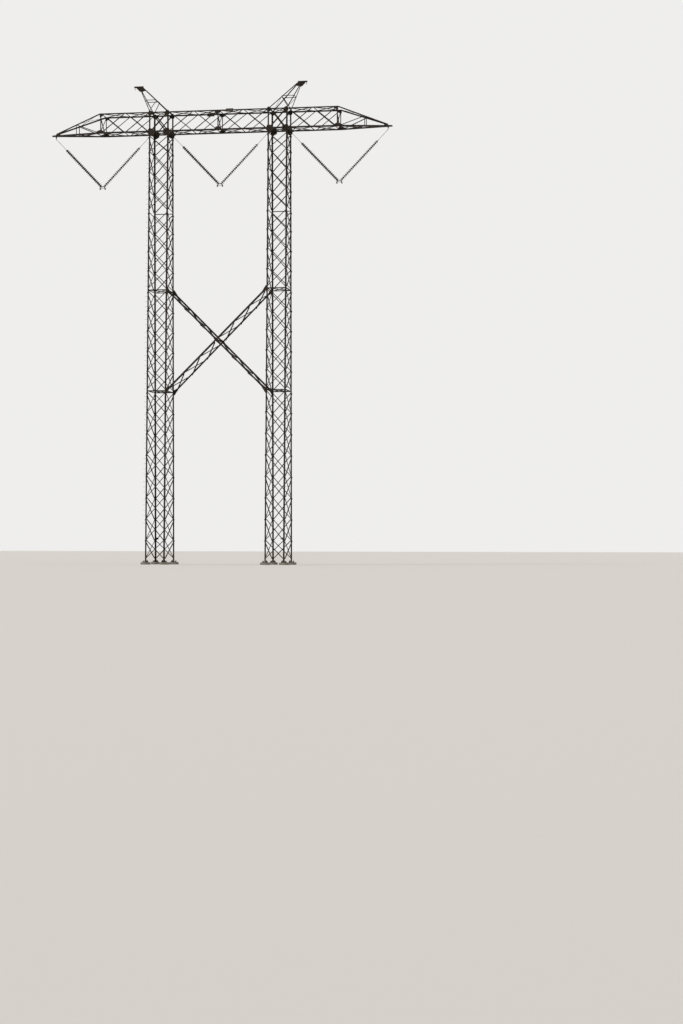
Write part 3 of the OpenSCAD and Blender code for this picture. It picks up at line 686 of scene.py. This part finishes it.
def brace_plate_bolts(mesh):
    """Bolts of the plates where the arms cross and where they meet the masts."""
    ends = tuple(BRACE_END + far for far in BRACE_END_BOLTS)
    for side in (PLAIN, MIRROR_Y):
        for mirror, middle in ((PLAIN, BRACE_WHOLE_BOLTS), (MIRROR_X, BRACE_HALF_BOLTS)):
            face = mirror @ side @ on_front(0)
            for s in (-1, 1):
                for distance in middle + ends:
                    for across in (-0.03, 0.03):
                        x = s * distance * math.cos(BRACE_A) + across * math.sin(BRACE_A)
                        z = BRACE_ZC - s * distance * math.sin(BRACE_A) + across * math.cos(BRACE_A)
                        bolt(mesh, face, x, flat(z), PLATE_T, -BRACE_T)
            for z in (LOW_RING_Z, HIGH_RING_Z):
                for v in (-0.05, 0.0, 0.05):
                    bolt(mesh, face, -INNER_X - 0.07, flat(z) + v, PLATE_T, -LEG_T)


def brace_bolts():
    mesh = Mesh()
    brace_lacing_bolts(mesh)
    brace_plate_bolts(mesh)
    return mesh.finish("bolts_x_brace", "root", [BOLT])


brace_bolts()


# Plates and hangers
HEAD_Y = 0.096
HEAD_BOLTS = ((-0.22, -0.13), (-0.16, -0.07), (-0.10, -0.01), (0.19, -0.08), (0.165, -0.14), (0.14, -0.20),
              (0.05, 0.02), (0.15, 0.02), (0.25, 0.02), (0.35, 0.02), (0.42, 0.04))
STRAP_X = 0.24
STRAP_SIZE = (0.05, 0.24, SHEET_T)
SIGN_BOLTS = ((-0.05, 0.03), (-0.05, 0.11))
HANGER_BOLT_IN = 0.05
TIP_HANGER_BOLT = 0.03


def head_plate_bolts(mesh):
    for side in (PLAIN, MIRROR_Y):
        for flip in (PLAIN, MIRROR_X):
            head = move(MAST_X + PEAK_LEAN, -HEAD_Y, ARM_TOP + PEAK_H - PEAK_HEAD_DROP)
            face = flip @ side @ head @ turn(90, "X")
            for x, z in HEAD_BOLTS:
                bolt(mesh, face, x, z, 0.0, -PLATE_T)


def sheet_bolts(mesh):
    """Bolts and straps of the plates on the top chords, and bolts of the plates low on the legs."""
    for around in (PLAIN, BACK):
        face = around @ move(MARKER_X, -D_TOP / 2 - CHORD_T - SHEET_T, ARM_TOP) @ turn(90, "X")
        for x in (-STRAP_X, STRAP_X):
            bolt(mesh, face, x, -0.045, 0.0, -SHEET_T - CHORD_T, BRACE_BOLT)
            mesh.box(STRAP_SIZE, face @ move(x, -0.05, -SHEET_T * 1.5), 0, 0.002)
            bolt(mesh, face, x, 0.035, 0.0, -SHEET_T * 2, BRACE_BOLT)
        face = around @ on_front(MAST_X) @ move(HALF_W, flat(SIGN_Z), 0)
        for x, z in SIGN_BOLTS:
            bolt(mesh, face, x, z, SHEET_T, -LEG_T, PLATE_BOLT)


def hanger_bolts(mesh):
    for x in PHASE_X:
        for s in (-1, 1):
            place = x + s * V_HALF
            reach = D_TOP / 2
            if abs(place) >= KNEE_X:
                reach = D_TOP / 2 * (TIP_X - abs(place)) / (TIP_X - KNEE_X)
            far = reach - HANGER_BOLT_IN if reach > 2 * HANGER_BOLT_IN else TIP_HANGER_BOLT
            for y in (-far, far):
                bolt(mesh, move(place, y, 0), 0.0, 0.0, ARM_Z + CHORD_T, ARM_Z - HANGER_H)


def top_bolts():
    mesh = Mesh()
    head_plate_bolts(mesh)
    sheet_bolts(mesh)
    hanger_bolts(mesh)
    return mesh.finish("bolts_top_plates", "root", [BOLT])


top_bolts()


# Peaks
PEAK_FOOT_IN = (0.03, 0.04)
PEAK_HEAD_X = 0.18
PEAK_HEAD_Y = 0.09


def bar_bolts(mesh, place, p, q, n, top, bottom):
    """A bolt near each end of a peak bar from p to q that lies on the side n."""
    u = (q - p).normalized()
    across = n.cross(u).normalized()
    turned = Matrix((across, -u, u.cross(across))).transposed().to_4x4()
    for end in (p + u * PEAK_END_BOLT, q - u * PEAK_END_BOLT):
        middle = Matrix.Translation(end + across * PEAK_LACE_W / 2)
        bolt(mesh, place @ middle @ turned, 0.0, 0.0, top, bottom, PEAK_BOLT)


def peak_bolts():
    """Bolts of the rails and the lacing between the legs of both peaks."""
    mesh = Mesh()
    foot_x = HALF_W - PEAK_FOOT_IN[0]
    foot_y = D_TOP / 2 - PEAK_FOOT_IN[1]
    head_z = PEAK_H - PEAK_HEAD_DROP

    def at(i, j, k):
        """Point on the leg at the corner i, j, at the share k of its height."""
        return Vector((MAST_X + i * foot_x + (PEAK_LEAN + i * (PEAK_HEAD_X - foot_x)) * k,
                       -j * (foot_y + (PEAK_HEAD_Y - foot_y) * k), ARM_TOP + head_z * k))

    front = Vector((0, -head_z, foot_y - PEAK_HEAD_Y)).normalized()
    bars = []
    for half in (PLAIN, MIRROR_Y):
        bars.append((half, at(-1, 1, PEAK_RING), at(1, 1, PEAK_RING), front, 0.014, 0.0))
        bars.append((half, at(1, 1, PEAK_FOOT), at(-1, 1, PEAK_RING), front, 0.013, 0.0))
    for i in (-1, 1):
        out = Vector((i * head_z, 0, -i * (at(i, 1, 1).x - at(i, 1, 0).x))).normalized()
        bars.append((PLAIN, at(i, 1, PEAK_RING), at(i, -1, PEAK_RING), out, 0.004, -0.008))
        bars.append((PLAIN, at(i, i, PEAK_FOOT), at(i, -i, PEAK_RING), out, 0.003, -0.008))
    for flip in (PLAIN, MIRROR_X):
        for half, p, q, n, top, bottom in bars:
            bar_bolts(mesh, flip @ half, p, q, n, top, bottom)
    return mesh.finish("bolts_peaks", "root", [BOLT])


peak_bolts()


# Feet
ANCHOR_OUT = 0.145
RIB_OUT = 0.1
RIB_SIDE = 0.036
RIB_T = 0.010
RIB = [(0, 0), (0.125, 0), (0.125, 0.02), (0.02, 0.16), (0, 0.16)]


def anchor_bolt(mesh, place):
    """Washer, nut, lock nut and the end of the anchor."""
    turned = rng.random() * math.pi
    mesh.lathe([(0.042, 0), (0.042, 0.006), (0.030, 0.006), (0.030, 0.030), (0.027, 0.034)], 12, place)
    mesh.lathe([(0.031, 0.006), (0.031, 0.034), (0.027, 0.038)], 6, place, 0, turned)
    mesh.lathe([(0.031, 0.040), (0.031, 0.060), (0.027, 0.064)], 6, place, 0, turned + 0.5)
    mesh.lathe([(0.017, 0.0), (0.017, 0.104), (0.013, 0.110)], 12, place)


def feet(name, x):
    """Anchor bolts of the base plates, and the stiffeners between each leg and its plate."""
    mesh = Mesh()
    for i in (-1, 1):
        for j in (-1, 1):
            foot = move(x + i * (HALF_W - LEG_W / 3), j * (half_d(0) - LEG_W / 3), PIER_H + SHOE_T)
            for u in (-ANCHOR_OUT, ANCHOR_OUT):
                for v in (-ANCHOR_OUT, ANCHOR_OUT):
                    anchor_bolt(mesh, foot @ move(u, v, 0))
            upright = turn(90, "X") @ move(0, 0, -RIB_T / 2)
            inward = foot @ move(i * RIB_SIDE, -j * RIB_OUT, 0) @ Matrix.Diagonal((1, -j, 1, 1))
            sideways = foot @ move(-i * RIB_OUT, j * RIB_SIDE, 0) @ Matrix.Diagonal((-i, 1, 1, 1))
            mesh.prism(RIB, RIB_T, inward @ turn(90, "Z") @ upright, 1)
            mesh.prism(RIB, RIB_T, sideways @ upright, 1)
    return mesh.finish(name, "root", [BOLT, TOWER])


feet("anchor_bolts_left_mast", -MAST_X)
feet("anchor_bolts_right_mast", MAST_X)


# V strings
V_RUN = V_HALF - YOKE_PIN
V_FALL = (HANG_Z - YOKE_Z) - LINK_L
V_LEN = math.hypot(V_RUN, V_FALL)
V_TILT = math.atan2(V_RUN, V_FALL)
STRING_L = DISC_COUNT * DISC_PITCH
BELL_SIDES = 28
CAP_SIDES = 16
SMOOTH_UNDER = 32

# Outlines of a disc: heights are shares of the pitch, and the rim's radii are shares of the disc's radius
BELL_RIBS = ((0.020, 0.20), (0.034, 0.20), (0.044, 0.12), (0.052, 0.21), (0.062, 0.22), (0.070, 0.13),
             (0.077, 0.22), (0.088, 0.23), (0.096, 0.15), (0.103, 0.23))
BELL_RIM = ((0.93, 0.23), (1.0, 0.165), (1.0, 0.235), (0.965, 0.30), (0.82, 0.40), (0.64, 0.475),
            (0.50, 0.52))
CAP = ((0.054, 0.52), (0.058, 0.55), (0.058, 0.60), (0.054, 0.65), (0.052, 0.80), (0.045, 0.90),
       (0.032, 0.96), (0.016, 0.97))
PIN = ((0.009, -0.05), (0.009, 0.21))


def on_leg(x, s):
    """Place at the yoke pin of one leg of the V at x, with Z along the leg."""
    return move(x + s * YOKE_PIN, 0, YOKE_Z) @ Matrix.Rotation(s * V_TILT, 4, "Y")


def pitched(profile, r=1.0):
    """Profile with its radii times r and its heights times the pitch."""
    return [(a * r, h * DISC_PITCH) for a, h in profile]


def string(node, x, s, body):
    """Cap-and-pin discs, each a glazed bell with ribs below and an iron cap above."""
    mesh = Mesh()
    bell = pitched(BELL_RIBS) + pitched(BELL_RIM, DISC_R) + [(0.055, 0.54 * DISC_PITCH)]
    for i in range(DISC_COUNT):
        place = on_leg(x, s) @ move(0, 0, FOOT_L + i * DISC_PITCH) @ turn(rng.random() * 360, "Z")
        mesh.lathe(bell, BELL_SIDES, place, 0)
        mesh.lathe(pitched(CAP), CAP_SIDES, place, 1)
        mesh.lathe(pitched(PIN), 8, place, 1)
    top = on_leg(x, s) @ move(0, 0, FOOT_L + STRING_L)
    mesh.lathe([(0.012, -0.01), (0.024, 0.0), (0.024, 0.055), (0.017, 0.07)], 12, top, 1)
    piece = mesh.finish("discs_" + node, body, [GLAZE, FITTING], SMOOTH_UNDER)
    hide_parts(node)
    return piece


STRINGS = (("left_string_outer", 0, -1), ("left_string_inner", 0, 1), ("centre_string_left", 1, -1),
           ("centre_string_right", 1, 1), ("right_string_inner", 2, -1), ("right_string_outer", 2, 1))
BODIES = ("vstring_left", "vstring_centre", "vstring_right")
for node, phase, s in STRINGS:
    string(node, PHASE_X[phase], s, BODIES[phase])


# Yoke fittings
CLEVIS_SIZE = (0.052, 0.012, 0.070)
CLEVIS_OUT = 0.024
CLEVIS_NUT_OUT = 0.031
SLEEVE = ((0.015, -0.100), (0.021, -0.092), (0.021, -0.016), (0.016, 0.004))
KEEPER_SIZE = (0.058, 0.022, 0.014)
KEEPERS = (-0.075, -0.045, 0.045, 0.075)
KEEPER_DROP = 0.034
CLAMP_BOLT_OUT = 0.034
CLAMP_PIN_UP = 0.042
CLAMP_NUT_OUT = 0.010
CLAMP_NUT_UP = 0.012


def leg_fittings(mesh, leg):
    """Clevis with its pin and nuts at the lower end of a leg, and the sleeve at the end of its rod."""
    for side in (-1, 1):
        mesh.box(CLEVIS_SIZE, leg @ move(0, side * CLEVIS_OUT, 0.012), 0, 0.003)
    mesh.lathe([(0.011, -0.046), (0.011, 0.046)], 12, leg @ turn(90, "X"))
    for side in (-1, 1):
        mesh.lathe([(0.019, 0.0), (0.019, 0.014), (0.016, 0.017)], 6,
                   leg @ turn(-90 * side, "X") @ move(0, 0, CLEVIS_NUT_OUT))
    mesh.lathe([(0.024, 0.026), (0.031, 0.032), (0.031, 0.047), (0.020, 0.056)], 16, leg)
    mesh.lathe([(r, V_LEN + up) for r, up in SLEEVE], 16, leg)


def clamp_fittings(mesh, clamp):
    """Pin, nuts, keepers and bolts of a conductor clamp."""
    pin = clamp @ move(0, 0, CLAMP_PIN_UP)
    mesh.lathe([(0.009, -0.045), (0.009, 0.045)], 10, pin @ turn(90, "Y"))
    for side in (-1, 1):
        nut = pin @ move(side * CLAMP_NUT_OUT, 0, 0) @ turn(90 * side, "Y")
        mesh.lathe([(0.016, 0.0), (0.016, 0.012)], 6, nut)
    for y in KEEPERS:
        mesh.box(KEEPER_SIZE, clamp @ move(0, y, -KEEPER_DROP), 0, 0.003)
        for side in (-1, 1):
            shank = clamp @ move(side * CLAMP_BOLT_OUT, y, 0)
            mesh.lathe([(0.006, -0.050), (0.006, 0.024)], 8, shank)
            mesh.lathe([(0.011, 0.0), (0.011, 0.010)], 6, shank @ move(0, 0, CLAMP_NUT_UP))


def yoke_fittings(name, x, body):
    """Fittings of both legs and both conductor clamps of the V at x."""
    mesh = Mesh()
    for s in (-1, 1):
        leg_fittings(mesh, on_leg(x, s))
        clamp_fittings(mesh, move(x + s * BUNDLE / 2, 0, YOKE_Z - CLAMP_DROP))
    return mesh.finish(name, body, [BOLT])


HANGER_PIN_END = 0.031


def hinge_pins(name):
    """Nuts, washers and heads of the hanger pins."""
    mesh = Mesh()
    nut = [(0.026, 0.0), (0.026, 0.014), (0.022, 0.018)]
    head = [(0.026, 0.0), (0.026, 0.005), (0.021, 0.005), (0.021, 0.016)]
    for x in PHASE_X:
        for s in (-1, 1):
            place = move(x + s * V_HALF, 0, HANG_Z)
            mesh.lathe(nut, 6, place @ move(HANGER_PIN_END, 0, 0) @ turn(90, "Y"))
            mesh.lathe(head, 12, place @ move(-HANGER_PIN_END, 0, 0) @ turn(-90, "Y"))
    return mesh.finish(name, "root", [BOLT])


for x, body in zip(PHASE_X, BODIES):
    yoke_fittings(body.replace("vstring_", "") + "_yoke_fittings", x, body)
hinge_pins("hanger_pin_nuts")


# Stage
def add_camera():
    data = bpy.data.cameras.new("camera")
    data.sensor_fit = "VERTICAL"
    data.sensor_height = SENSOR_MM
    data.lens = FOCAL_PX * SENSOR_MM / IMAGE_H
    data.clip_end = CAMERA_REACH
    camera = bpy.data.objects.new("camera", data)
    camera.location = CAMERA_PLACE
    camera.rotation_euler = (math.pi / 2 + CAMERA_PITCH, CAMERA_ROLL, CAMERA_YAW)
    bpy.context.scene.collection.objects.link(camera)
    bpy.context.scene.camera = camera


def seen_colour(tree, shader, colour, strength):
    """Shows a plain colour to the camera and in reflections, and the background shader elsewhere."""
    path = tree.nodes.new("ShaderNodeLightPath")
    seen = tree.nodes.new("ShaderNodeMath")
    seen.operation = "MAXIMUM"
    tree.links.new(path.outputs["Is Camera Ray"], seen.inputs[0])
    glossy = tree.nodes.new("ShaderNodeMath")
    glossy.operation = "MAXIMUM"
    tree.links.new(path.outputs["Is Glossy Ray"], glossy.inputs[0])
    tree.links.new(path.outputs["Is Transmission Ray"], glossy.inputs[1])
    tree.links.new(glossy.outputs[0], seen.inputs[1])
    plain = tree.nodes.new("ShaderNodeBackground")
    plain.inputs["Color"].default_value = (*colour, 1.0)
    plain.inputs["Strength"].default_value = strength
    mix = tree.nodes.new("ShaderNodeMixShader")
    tree.links.new(seen.outputs[0], mix.inputs["Fac"])
    tree.links.new(shader.outputs[0], mix.inputs[1])
    tree.links.new(plain.outputs[0], mix.inputs[2])
    return mix.outputs[0]


def add_floor():
    mesh = bpy.data.meshes.new("floor")
    turns = [2 * math.pi * i / FLOOR_SIDES for i in range(FLOOR_SIDES)]
    rim = [(FLOOR_R * math.cos(a), FLOOR_R * math.sin(a), 0) for a in turns]
    mesh.from_pydata(rim, [], [tuple(range(FLOOR_SIDES))])
    floor = bpy.data.objects.new("floor", mesh)
    bpy.context.scene.collection.objects.link(floor)
    n = Nodes("floor")
    n.shader.inputs["Base Color"].default_value = (*FLOOR_COLOUR, 1.0)
    n.shader.inputs["Roughness"].default_value = 0.95
    mesh.materials.append(n.material)


def add_light():
    world = bpy.data.worlds.new("world")
    bpy.context.scene.world = world
    world.use_nodes = True
    tree = world.node_tree
    soft = tree.nodes["Background"]
    soft.inputs["Color"].default_value = (*SKY_COLOUR, 1.0)
    soft.inputs["Strength"].default_value = SKY_STRENGTH
    seen = seen_colour(tree, soft, BACKDROP_COLOUR, 1.0)
    tree.links.new(seen, tree.nodes["World Output"].inputs["Surface"])
    data = bpy.data.lights.new("key", "SUN")
    data.energy = SUN_STRENGTH
    data.angle = math.radians(SUN_SPREAD)
    data.color = SUN_COLOUR
    key = bpy.data.objects.new("key", data)
    key.rotation_euler = (math.radians(SUN_TILT), 0.0, math.radians(SUN_TURN))
    bpy.context.scene.collection.objects.link(key)


add_camera()
add_floor()
add_light()
bpy.context.scene.view_settings.view_transform = "Standard"
